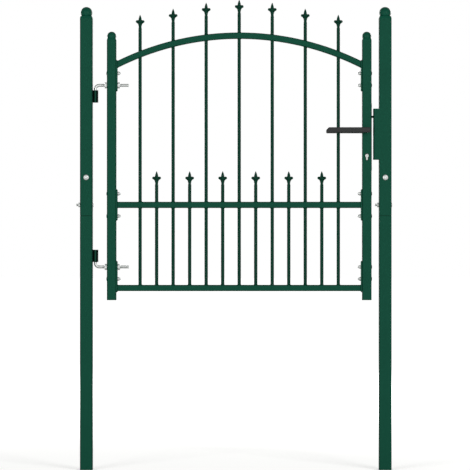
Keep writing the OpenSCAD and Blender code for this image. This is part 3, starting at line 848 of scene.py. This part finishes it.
# The cylinder is a round barrel over a narrow tail. Both ends are bevelled down to a smaller face,
# so that only the face is bright: the steep bevel mirrors the green stile.
CYLINDER_TAIL_W = 8 * MM
CYLINDER_BEVEL = 1.6 * MM
CYLINDER_BEVEL_LEN = 3.2 * MM
CYLINDER_SIDES = 40
KEY_SLOT_W = 1.6 * MM
KEY_SLOT_H = 7 * MM
KEY_SLOT_DEEP = 5 * MM


def cylinder_ring(bm, low, high, y, inset):
    """Adds the points of the cylinder's outline at a depth y, drawn in by an inset."""
    head_r = (high.x - low.x) / 2 - inset
    tail_r = CYLINDER_TAIL_W / 2 - inset
    mid_x = (low.x + high.x) / 2
    head_z = high.z - inset - head_r
    tail_z = low.z + inset + tail_r
    neck = math.asin(tail_r / head_r)
    ring = []
    for k in range(CYLINDER_SIDES + 1):
        turn = neck + 2 * (math.pi - neck) * k / CYLINDER_SIDES
        x = mid_x + head_r * math.sin(turn)
        ring.append(bm.verts.new((x, y, head_z - head_r * math.cos(turn))))
    for k in range(CYLINDER_SIDES // 2 + 1):
        turn = 2 * math.pi * k / CYLINDER_SIDES
        x = mid_x - tail_r * math.cos(turn)
        ring.append(bm.verts.new((x, y, tail_z - tail_r * math.sin(turn))))
    return ring


def slot_ring(bm, centre, y):
    """Adds the four corners of the key slot at a depth y."""
    ring = []
    for x, z in ((-1, -1), (1, -1), (1, 1), (-1, 1)):
        ring.append(bm.verts.new((centre.x + x * KEY_SLOT_W / 2, y, centre.z + z * KEY_SLOT_H / 2)))
    return ring


def ring_edges(bm, ring):
    """Edges round a ring of points."""
    return [bm.edges.get((a, b)) or bm.edges.new((a, b)) for a, b in zip(ring, ring[1:] + ring[:1])]


bm = bmesh.new()
low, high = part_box("lock_cylinder")
plug = Vector(((low.x + high.x) / 2, 0, high.z - (high.x - low.x) / 2))
rings = [
    cylinder_ring(bm, low, high, low.y, CYLINDER_BEVEL),
    cylinder_ring(bm, low, high, low.y + CYLINDER_BEVEL_LEN, 0),
    cylinder_ring(bm, low, high, high.y - CYLINDER_BEVEL_LEN, 0),
    cylinder_ring(bm, low, high, high.y, CYLINDER_BEVEL),
]
skin_rings(bm, rings)
for face_ring, y, inward in ((rings[0], low.y, 1), (rings[-1], high.y, -1)):
    mouth = slot_ring(bm, plug, y)
    bottom = slot_ring(bm, plug, y + inward * KEY_SLOT_DEEP)
    skin_rings(bm, [mouth, bottom])
    bm.faces.new(bottom)
    bmesh.ops.triangle_fill(bm, use_beauty=True, edges=ring_edges(bm, face_ring) + ring_edges(bm, mouth))
piece = add_piece("lock_cylinder_bevelled", bm, nickel_plate, "leaf")
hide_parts("lock_cylinder")

# Two slotted screws hold the face plate. A ring shows where each end of the cylinder's plug turns.
SCREW_D = 7 * MM
SCREW_SLOT = 1.2 * MM
SCREW_PROUD = 0.7 * MM
SCREW_BED = SCREW_PROUD / 3
SCREW_EDGE = 0.7 * SCREW_PROUD
SCREW_CHAMFER = 0.5 * MM
SCREW_INSET = 9 * MM
SCREW_STEPS = 24
PLUG_RING_R = 4.6 * MM
PLUG_RING_W = 0.7 * MM
PLUG_RING_PROUD = 0.3 * MM

bm = bmesh.new()
case_low, case_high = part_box("lock_case")
plate_y = (case_low.y + case_high.y) / 2
for z in (case_low.z + SCREW_INSET, case_high.z - SCREW_INSET):
    place = facing(Vector((case_high.x - SINK, plate_y, z)), (1, 0, 0))
    turned(bm, disc(SCREW_D, SCREW_BED), place)
    for half in (1, -1):
        rings = []
        for inset, height in ((0, 0), (0, SCREW_EDGE), (SCREW_CHAMFER, SCREW_PROUD + SINK)):
            r = SCREW_D / 2 - inset
            open_at = math.asin(SCREW_SLOT / 2 / r)
            ring = []
            for k in range(SCREW_STEPS + 1):
                turn = open_at + (math.pi - 2 * open_at) * k / SCREW_STEPS
                ring.append(rim_point(bm, place, half * r, turn, height))
            rings.append(ring)
        skin_rings(bm, rings)
        bm.faces.new(rings[0])
        bm.faces.new(rings[-1])
inner = PLUG_RING_R - PLUG_RING_W
proud = PLUG_RING_PROUD + SINK
plug_ring = [(inner, 0), (PLUG_RING_R, 0), (PLUG_RING_R, proud), (inner, proud)]
for side, y in ((-1, low.y), (1, high.y)):
    place = facing(Vector((plug.x, y - side * SINK, plug.z)), (0, side, 0))
    turned(bm, plug_ring, place, closed=True)
add_piece("lock_trim", bm, nickel_plate, "leaf")

# Levers
# A lever on each side of the latch stile draws the latch bolt back.
# Both are moulded nylon grips with rounded edges, pushed onto the ends of the square spindle.

# Glass-filled nylon: near black, with a dull grain from the mould. The grain is drawn coarser than the
# real one, so that it shows.
NYLON = "#343535"
NYLON_DEEP = "#2e2f2f"
NYLON_GRAIN = 1.2 * MM
NYLON_GLOSS = (0.4, 0.58)
NYLON_IOR = 1.53

black_nylon = moulded_plastic("black_nylon", NYLON, NYLON_DEEP, NYLON_GRAIN, NYLON_GLOSS, NYLON_IOR)
finish_node("front_lever", black_nylon)
finish_node("back_lever", black_nylon)

# Studio
# A pale floor in a white room. Two large lamps in front and two behind give the soft, flat light
# of a catalogue picture. The camera stands level, straight in front of the gate.
WHITE = "#ffffff"
ROOM_FILL = 0.1
PAPER = "#f4f4f2"
FLOOR_HALF = 40.0
FLOOR_DROP = 0.5 * MM
FLOOR_GLOW = (0.4, 1.0)
FLOOR_GLOW_FROM = 1.0
FLOOR_GLOW_FULL = 4.0
CAMERA_AWAY = 9.0
CAMERA_REACH = 100.0
PICTURE_WIDTH = 1.5078
SENSOR = 36.0
VIEW_X = 0.4775
VIEW_Z = 0.7543
LAMP_SIZE = 2.0
LAMP_TARGET = Vector((VIEW_X, 0, 0.8))
LAMPS = {
    "front_right_lamp": (Vector((3.4, -5.2, 2.2)), 176),
    "front_left_lamp": (Vector((-2.4, -5.2, 1.8)), 133),
    "back_right_lamp": (Vector((3.4, 5.2, 2.2)), 170),
    "back_left_lamp": (Vector((-2.4, 5.2, 1.8)), 200),
}

scene = bpy.context.scene
scene.view_settings.view_transform = "Standard"


def shown_rays(tree):
    """The socket that is 1 for what the camera sees, straight, in a mirror or through glass, and else 0."""
    path = add_node(tree, "ShaderNodeLightPath")
    seen = add_node(
        tree,
        "ShaderNodeMath",
        {0: path.outputs["Is Camera Ray"], 1: path.outputs["Is Glossy Ray"]},
        operation="MAXIMUM",
    )
    shown = add_node(
        tree,
        "ShaderNodeMath",
        {0: seen.outputs["Value"], 1: path.outputs["Is Transmission Ray"]},
        operation="MAXIMUM",
    )
    return shown.outputs["Value"]


world = bpy.data.worlds.new("white_room")
world.use_nodes = True
tree = world.node_tree
tree.nodes.clear()
fill = add_node(tree, "ShaderNodeBackground", {"Color": linear(WHITE), "Strength": ROOM_FILL})
white = add_node(tree, "ShaderNodeBackground", {"Color": linear(WHITE), "Strength": 1.0})
room = add_node(tree, "ShaderNodeMixShader", {0: shown_rays(tree), 1: fill.outputs[0], 2: white.outputs[0]})
add_node(tree, "ShaderNodeOutputWorld", {"Surface": room.outputs["Shader"]})
scene.world = world

# Matt paper that takes the gate's shadow. Away from the gate it brightens into the white of the room.
paper, tree = new_material("pale_floor")
matt = add_node(tree, "ShaderNodeBsdfDiffuse", {"Color": linear(PAPER)})
spot = add_node(tree, "ShaderNodeTexCoord")
away = add_node(tree, "ShaderNodeVectorMath", {0: spot.outputs["Object"]}, operation="LENGTH")
fade = add_node(
    tree,
    "ShaderNodeMapRange",
    {
        "Value": away.outputs["Value"],
        "From Min": FLOOR_GLOW_FROM,
        "From Max": FLOOR_GLOW_FULL,
        "To Min": FLOOR_GLOW[0],
        "To Max": FLOOR_GLOW[1],
    },
)
glow = add_node(tree, "ShaderNodeEmission", {"Color": linear(WHITE), "Strength": fade.outputs["Result"]})
both = add_node(tree, "ShaderNodeAddShader", {0: matt.outputs[0], 1: glow.outputs[0]})
sheet = add_node(tree, "ShaderNodeMixShader", {0: shown_rays(tree), 1: matt.outputs[0], 2: both.outputs[0]})
add_node(tree, "ShaderNodeOutputMaterial", {"Surface": sheet.outputs["Shader"]})

bm = bmesh.new()
bmesh.ops.create_grid(bm, x_segments=1, y_segments=1, size=FLOOR_HALF)
mesh = bpy.data.meshes.new("floor")
bm.to_mesh(mesh)
bm.free()
mesh.materials.append(paper)
floor = bpy.data.objects.new("floor", mesh)
floor.location.z = cad_low[2] - FLOOR_DROP
scene.collection.objects.link(floor)

for name, (at, watts) in LAMPS.items():
    lamp = bpy.data.lights.new(name, "AREA")
    lamp.size = LAMP_SIZE
    lamp.energy = watts
    holder = bpy.data.objects.new(name, lamp)
    holder.location = at
    holder.rotation_euler = (LAMP_TARGET - at).to_track_quat("-Z", "Y").to_euler()
    scene.collection.objects.link(holder)

front_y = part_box("hinge_post_upper")[0].y
eye = bpy.data.cameras.new("camera")
eye.sensor_width = SENSOR
eye.lens = SENSOR * CAMERA_AWAY / PICTURE_WIDTH
eye.clip_end = CAMERA_REACH
camera = bpy.data.objects.new("camera", eye)
camera.location = (VIEW_X, front_y - CAMERA_AWAY, VIEW_Z)
camera.rotation_euler = (math.pi / 2, 0, 0)
scene.collection.objects.link(camera)
scene.camera = camera
